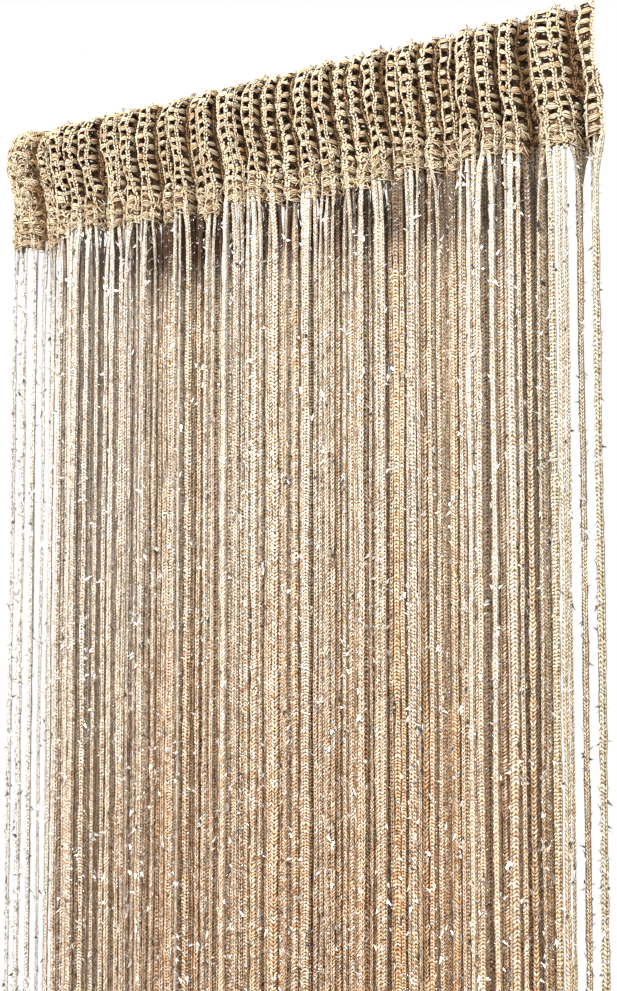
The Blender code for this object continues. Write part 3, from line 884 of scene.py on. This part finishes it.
def stringPath(half):  # the middle of one string, from its root down
    root, first, second = roots[half], bends[0][half], bends[1][half]
    low = second[2]
    top = root[2] + strings["rootUp"]
    local = np.random.default_rng(strings["pathSeed"] + half)
    count = int((top - strings["fineTo"]) / strings["fine"])
    fineZ = top - np.cumsum(strings["fine"] * local.uniform(*strings["fineSpread"], count))
    coarseZ = np.arange(fineZ[-1] - strings["coarse"], low + strings["coarse"] / 2, -strings["coarse"])
    z = np.concatenate(((top,), fineZ, coarseZ, (low + strings["tip"], low)))[:, None]
    near = 1 - (1 - np.clip((root[2] - z) / (root[2] - first[2]), 0, 1)) ** strings["spreadEarly"]
    far = np.clip((first[2] - z) / (first[2] - low), 0, 1)
    place = root[:2] + (first - root)[:2] * near + (second - first)[:2] * far
    sway = strings["wander"] * smooth((root[2] - z) / strings["wanderFrom"])
    place = place + sway * np.sin(z / wanderWave[half] * 2 * math.pi + wanderStart[half])
    if half % 2 == 0:  # it leaves the foot of its rib
        ribPath, lift = strings["onRib"]
        face = layOn(np.array([half / 2]), np.array([ribPath]), np.array([lift]))[0]
        above, reach = strings["leaveRib"]
        place = place + (face - root)[:2] * (1 - smooth((root[2] - z + above) / reach))
    return np.hstack([place, z])


def stringMesh(name, halves, finish):
    sides = strings["sides"]
    here = np.arange(sides)
    after = (here + 1) % sides
    turn = here / sides * 2 * math.pi
    points, faces, uvs, tones = [], [], [], []
    start = 0
    for half in halves:
        local = np.random.default_rng(strings["meshSeed"] + half)
        line = stringPath(half)
        count = len(line)
        down = line[0, 2] - line[:, 2]
        radius = stringRadius[half] * (1 + strings["uneven"] * local.normal(0, 0.5, count))
        foot = strings["shadedWide"] * rootIn[half] - strings["thinFoot"] * (1 - rootIn[half])
        radius = radius + foot * strings["radius"] * np.exp(-down / strings["footReach"])
        radius[[0, -1]] *= strings["endThick"]
        offset = local.random()
        turns = turn + offset * 2 * math.pi
        ring = np.stack([np.cos(turns), np.sin(turns), turns * 0], axis=-1)
        points.append((line[:, None] + ring * radius[:, None, None]).reshape(-1, 3))
        base = start + (np.arange(count - 1) * sides)[:, None]
        quads = np.stack([base + here, base + sides + here, base + sides + after, base + after], axis=-1)
        faces += quads.reshape(-1, 4).tolist()
        faces.append(list(range(start, start + sides)))
        start += count * sides
        faces.append(list(range(start - 1, start - sides - 1, -1)))
        left = np.broadcast_to(here / sides + offset, (count - 1, sides))
        right = left + 1 / sides
        upper, lower = (np.broadcast_to(values[:, None] / mm, left.shape)
                        for values in (down[:-1], down[1:]))
        corners = np.stack([left, upper, left, lower, right, lower, right, upper], axis=-1)
        uvs += [corners.reshape(-1, 2), np.full((2 * sides, 2), 0.5)]
        number = half * strings["numberStep"] % 1
        tone = (stringTone[half], stringOpen[half], number, endShare[half])
        tones.append(np.broadcast_to(tone, (count * sides, 4)))
    return newMesh(name, np.concatenate(points), faces, finish,
                   uv=np.concatenate(uvs), tone=np.concatenate(tones))


# The strings' finish: its stitches, and where it and its painted light and shade change along, into and
# down the fringe, in metres
cord = {
    "columns": 5, "wobble": 1.6, "slant": 0.42, "acrossRelief": 0.65, "alongRelief": 0.78,
    "threadPitch": 7.5, "threadWide": 0.06, "bump": 0.0016,
    "footShade": (-0.24, -0.52, 0.10, 1.0), "below": (-0.150, -0.100), "rightShadeReach": (0.165, 0.200),
    "leftPale": (-0.05, -0.17, 0.09, -0.05), "leftPaintedLight": (-0.02, -0.16, 0.0, 0.50),
    "rightCalm": (0.02, 0.16, 1.0, 0.68), "underHeight": (-0.150, -0.104), "underMiddle": -0.02,
    "underDepth": (-0.0135, -0.0080, 0.05, 0.97), "underWidth": (0.06, 0.17, 1.0, 0.75),
}


def stringFinish():
    finish = Finish("stringYarn", Sheen_Weight=0.05, Sheen_Roughness=0.4, Specular_IOR_Level=0.15)
    tone, open, number, endLight = finish.yarnTone()
    step = finish.step
    around, down, _ = finish.split(finish.yarnMap())
    side, depth, height = finish.split(finish.place())

    def spots(x, y, z=0.0):
        return finish.noise(1.0, 1.0, finish.join(x, y, z))

    # Columns of loops that slant to the left and to the right by turns
    column = (around + number) * cord["columns"]
    across = (column.fraction() - 0.5) * 2
    hand = ((column.whole() / 2).fraction() > 0.25) * 2 - 1
    shortPitch, longPitch = strings["pitch"]
    pitch = number * (longPitch - shortPitch) + shortPitch
    wobble = spots(number * 410, down * 0.16, around) * cord["wobble"]
    phase = down / pitch + wobble + hand * across * cord["slant"]
    stitch = (phase.fraction() - 0.5) * 2
    grainHeight = 1 - across * across * cord["acrossRelief"] - stitch * stitch * cord["alongRelief"]
    loop = finish.join(phase.whole(), column.whole(), number * 97)
    loopTone = finish.node("TexWhiteNoise", {}, {"Vector": loop})

    # Uneven tone, from a few centimetres down to single fibres
    along = spots(number * 90, down * 0.035, around * 0.8)
    patch = spots(number * 310, down * 0.20, around * 1.2)
    dab = spots(number * 370, down * 0.42, around * 3)
    dash = spots(around * 3, down * 0.36, number * 130)
    speck = spots(around * 6, down * 0.80, number * 170 + 9)
    fibre = spots(around * 9, down * 1.1, number * 70)
    tuft = step(spots(around * 1.5, down * 0.13, number * 230), 0.63, 0.70)
    plain = step(abs(number - 0.87), 0.11, 0.05)  # some cords are smoother

    # Painted light and shade: warmer and darker towards the foot, lighter and smoother just under the
    # hem where open to the light, overexposed at the left end
    footShade = step(height, *cord["footShade"])
    below = step(height, *cord["below"]) * open
    white = endLight * (side < 0)
    fine = (1 - plain * 0.5) * (1 - endLight * (0.6 - (side > 0) * 0.6)) * (1 - below * 0.65)
    fine = fine * step(side, *cord["rightCalm"])
    # painted shadow under the hem: strings lying behind, just below it, are painted dark brown
    under = step(height, *cord["underHeight"]) * step(depth, *cord["underDepth"])
    under = under * (1 - endLight) * step(abs(side - cord["underMiddle"]), *cord["underWidth"])
    # share of the lighter colours: random, and painted light where the string is open to the light and
    # towards the left, painted shade towards the foot
    share = (tone * 0.62 + along * 0.52 + patch * 0.38 + open * 0.30 + below * 0.25 - footShade * 0.05
             - step(side, *cord["leftPale"]))
    low = finish.blendColours(footShade, "brown", "ember")
    middle = finish.blendColours(footShade, "gold", "peach")
    # the end zones' tones: painted overexposure at the left end, and at the right end lighter behind and
    # darker in front, against the light there
    rightTone = finish.blendColours(open, "rightBehind", "rightFront")
    endTone = finish.blendColours(side > 0, "leftEnd", rightTone)
    # painted light and shade among these coats: fewer flecks where shaded, strings behind darkened, warm
    # shade at the foot, the end zones' tones, shade at the right end, light towards the left and
    # overexposure at the left end
    base = finish.layers(
        finish.blendColours(step(share, 0.18, 0.58), low, middle),
        (step(share, 0.45, 0.85), "pale"),
        (step(speck, 0.50, 0.60) * (open * 0.6 + 0.4), "fleck"),
        (step(dab, 0.58, 0.68) * 0.5, "chalk"),
        (1 - open, "behindShade", "MULTIPLY"),
        (footShade, "footShadeTint", "MULTIPLY"),
        (endLight * 0.85, endTone),
        (1.0, "cordTint", "MULTIPLY"),
        (step(side, *cord["rightShadeReach"]) * (1 - endLight), "rightShadeTint", "MULTIPLY"),
        (step(side, *cord["leftPaintedLight"]) * (1 - footShade * 0.6), "leftPaintedLight"),
        (step(dab, 0.44, 0.34) * 0.8, "smudge", "MULTIPLY"),
        (step(loopTone, 0.40, 0.0) * fine * 0.8, "darkLoop", "MULTIPLY"),
        (step(loopTone, 0.72, 1.0) * fine * 0.7, "lightLoop"),
        (white * 0.8, "leftOverexposed"),
        (step(dash, 0.58, 0.63) * white * 0.85, "leftDash"),
    )
    # painted shade in the relief of the stitches
    base = finish.shaded(base, step(grainHeight + (fibre - 0.5) * 1.2, 0.72, 0.12) * fine * 0.72)

    # A metallic thread winds round each cord, and glints in its tufts
    thread = abs((around + down / cord["threadPitch"] + number).fraction() - 0.5) < cord["threadWide"]
    glint = thread * (spots(number * 50, down * 0.4) > 0.53)
    glint = glint.most(step(fibre, 0.56, 0.60) * tuft)
    # painted shade in the grooves between the stitches, dark fibres in the tufts, the painted shadow
    # under the hem and the metallic thread
    base = finish.layers(
        base,
        (step(grainHeight + (fibre - 0.5) * 0.9, 0.38, 0.18) * fine * 0.9, "grooveShadeAndDarkFibre"),
        (step(fibre, 0.39, 0.33) * (tuft * 0.4 + 0.55), "grooveShadeAndDarkFibre"),
        (under, "hemShadow"),
        (glint, "thread"),
    )
    finish.set(Base_Color=base, Metallic=glint * 0.8, Roughness=0.62 - glint * 0.4 - fibre * 0.1)
    finish.bump(grainHeight * 0.8 + fibre * 0.2, cord["bump"], 1.0)
    return finish


cordFinish = stringFinish()
stringPieces = []
for number in range(strings["pieces"]):
    first = number * halfCount // strings["pieces"]
    last = (number + 1) * halfCount // strings["pieces"]
    stringPieces.append(stringMesh(f"strings{number + 1}", range(first, last), cordFinish))

# Tinsel: slivers of silver foil that stand out of the strings in small tufts
tinsel = {
    "long": 3.4 * mm, "longSpread": (0.5, 1.4), "wide": 2.3 * mm, "wideSpread": (0.6, 1.5), "thin": 0.35,
    "slivers": (2, 5), "depths": (0.1, 0.45, 0.66, 0.72), "every": (0.032, 0.017, 0.017, 0.16),
    "first": (0.004, 0.05), "apart": 0.004, "tip": 0.01, "inside": 0.8, "outwards": 0.40,
    "tuft": 2.2 * mm, "darkShare": 0.3, "dark": (0, 0.2), "light": (0.7, 1), "seed": 31,
}


def makeSliver():
    bpy.ops.mesh.primitive_cone_add(vertices=3, radius1=0.5, radius2=0, depth=1)
    piece = editing()
    bpy.ops.transform.translate(value=(0, 0, 0.5))
    return takeUnit(piece)


def scatterSlivers(name, origins, directions, lengths, widths, tone, finish, chance):
    points, faces = makeSliver()
    count = len(origins)
    directions = directions / np.linalg.norm(directions, axis=-1, keepdims=True)
    side = np.cross(directions, chance.normal(0, 1, (count, 3)))
    side /= np.linalg.norm(side, axis=-1, keepdims=True)
    other = np.cross(directions, side)
    x, y, z = (points[None, :, axis, None] for axis in range(3))
    wide, long = widths[:, None, None], lengths[:, None, None]
    places = (origins[:, None] + side[:, None] * x * wide
              + other[:, None] * y * wide * tinsel["thin"] + directions[:, None] * z * long)
    return newMesh(name, places, copyFaces(faces, count, len(points)), finish,
                   tone=np.repeat(tone, len(points), axis=0), flat=True)


def tinselFinish():
    finish = Finish("silverTinsel")
    tone = finish.yarnTone()[0]
    crinkle = finish.noise(2500.0, 2.0)
    finish.set(Base_Color=finish.blendColours(tone, "foilDarkReflection", "foilLight"),
               Metallic=1 - tone * 0.45, Roughness=crinkle * 0.25 + 0.15)
    finish.bump(crinkle, 0.0002, 0.6)
    return finish


def makeTinsel():
    chance = np.random.default_rng(tinsel["seed"])
    origins, directions = [], []
    for half in range(halfCount):
        line = stringPath(half)
        z = line[0, 2] - chance.uniform(*tinsel["first"])
        while z > line[-1, 2] + tinsel["tip"]:
            count = int(chance.integers(*tinsel["slivers"]))
            middle = np.array([np.interp(-z, -line[:, 2], line[:, axis]) for axis in (0, 1)])
            for _ in range(count):
                angle = chance.uniform(0, 2 * math.pi)
                out = np.array([math.cos(angle), math.sin(angle)])
                at = middle + out * stringRadius[half] * tinsel["inside"]
                origins.append((*at, z + chance.normal(0, tinsel["tuft"])))
                directions.append((*(out * tinsel["outwards"]), chance.uniform(-1, 1)))
            every = np.interp(-z, tinsel["depths"], tinsel["every"])
            z -= chance.exponential(every) + tinsel["apart"]
    origins = np.array(origins)
    count = len(origins)
    lengths = tinsel["long"] * chance.uniform(*tinsel["longSpread"], count)
    widths = tinsel["wide"] * chance.uniform(*tinsel["wideSpread"], count)
    # some slivers are painted dark, as a painted dark reflection; the rest are light silver
    bright = np.where(chance.random(count) < tinsel["darkShare"],
                      chance.uniform(*tinsel["dark"], count), chance.uniform(*tinsel["light"], count))
    tone = np.stack([bright, np.ones(count), np.zeros(count), np.ones(count)], axis=-1)
    return scatterSlivers("tinselSlivers", origins, np.array(directions), lengths, widths, tone,
                          tinselFinish(), chance)


tinselSlivers = makeTinsel()

# Fuzz: short fibre ends on the top edge, the ribs and the hem
fuzz = {
    "top": 2600, "faces": 3600, "long": 2.6 * mm, "longSpread": (0.4, 1.3), "wide": 0.22 * mm,
    "wideSpread": (0.7, 1.6), "topSpread": 0.003, "lifts": (0.6 * mm, 1.6 * mm), "scatter": 0.75,
    "tone": (0.7, 0.2), "topPaintedOpen": 0.75, "seed": 77,
}


def makeFuzz():
    chance = np.random.default_rng(fuzz["seed"])
    count = fuzz["top"] + fuzz["faces"]
    onTop = np.arange(count) < fuzz["top"]
    rib = chance.uniform(0, lastRib, count)
    path = np.where(onTop, topPath + chance.normal(0, fuzz["topSpread"], count),
                    chance.uniform(0, pathLength, count))
    origins, ends = (layOn(rib, path, np.full(count, lift)) for lift in fuzz["lifts"])
    directions = (ends - origins) / np.linalg.norm(ends - origins, axis=-1, keepdims=True)
    directions = directions + chance.normal(0, fuzz["scatter"], (count, 3))
    lengths = fuzz["long"] * chance.uniform(*fuzz["longSpread"], count)
    widths = fuzz["wide"] * chance.uniform(*fuzz["wideSpread"], count)
    tone = toneOf(rib, path, np.clip(chance.normal(*fuzz["tone"], count), 0, 1))
    # painted light: fibres on the top edge are kept open to the light, so no painted fold shade falls on
    # them
    tone[:, 1] = np.where(onTop, np.maximum(tone[:, 1], fuzz["topPaintedOpen"]), tone[:, 1])
    return scatterSlivers("yarnFuzz", origins, directions, lengths, widths, tone, stitchFinish,
                          chance)


yarnFuzz = makeFuzz()

headingParts = [ribsFront, ribsBack, rungsFront, rungsBack, knots, yarnFuzz]
for piece in [headingGround, *headingParts]:
    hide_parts("heading")
for piece in [*stringPieces, tinselSlivers]:
    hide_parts("string_fringe")

# The studio: a pale floor below the strings, a soft key light, a weaker fill and a white surround
studio = {
    "floor": -2.03, "floorSize": 3.4, "keyPlace": (-0.15, -1.9, 0.95), "keyAim": (0.0, 0.0, -0.20),
    "keySize": 0.6, "keyPower": 92, "fillPlace": (1.05, -1.5, 0.05), "fillSize": 0.8, "fillPower": 22,
    "surround": 0.74, "surroundTint": (1.0, 0.91, 0.79), "lightTint": (1.0, 0.975, 0.94),
    "floorTones": ((0.80, 0.79, 0.77), (0.86, 0.85, 0.83)),
}


def makeStudio():
    bpy.ops.mesh.primitive_plane_add(size=studio["floorSize"], location=(0, 0, studio["floor"]))
    floor = bpy.context.active_object
    floor.name = floor.data.name = "studioFloor"
    bpy.ops.object.transform_apply(location=True, rotation=True, scale=True)
    finish = Finish("paleFloor", Roughness=0.85)
    mottle = finish.noise(3.0, 4.0)
    tones = [rgb(*colour) for colour in studio["floorTones"]]
    finish.set(Base_Color=finish.blendColours(mottle, *tones))
    floor.data.materials.append(finish.material)
    for name in ("key", "fill"):
        bpy.ops.object.light_add(type="AREA", location=studio[name + "Place"])
        light = bpy.context.active_object
        light.name = name + "Light"
        light.data.size = studio[name + "Size"]
        light.data.energy = studio[name + "Power"]
        light.data.color = studio["lightTint"]
        aim = Vector(studio["keyAim"]) - light.location
        light.rotation_euler = aim.to_track_quat("-Z", "Y").to_euler()
    world = bpy.data.worlds.new("softSurround")
    bpy.context.scene.world = world
    world.use_nodes = True
    nodes = Nodes(world.node_tree)
    back = nodes.tree.nodes["Background"]
    seen = nodes.node("LightPath")  # one where the camera sees the surround itself
    colours = {0: seen, 6: rgb(*studio["surroundTint"]), 7: rgb(1, 1, 1)}
    plug(nodes.tree, nodes.node("Mix", {"data_type": "RGBA"}, colours, out=2), back.inputs["Color"])
    strengths = {0: seen, 3: studio["surround"], 4: 1.0}
    plug(nodes.tree, nodes.node("MapRange", {}, strengths), back.inputs["Strength"])


def makeCamera():
    bpy.ops.object.camera_add(location=camera["place"], rotation=(
        math.radians(90 + camera["pitch"]), 0, math.radians(camera["turn"])))
    made = bpy.context.active_object
    made.name = "photoCamera"
    made.data.sensor_width = camera["sensor"]
    made.data.lens = camera["focus"] / camera["photoHigh"] * camera["sensor"]
    bpy.context.scene.camera = made
    bpy.context.scene.view_settings.view_transform = "Standard"


makeStudio()
makeCamera()
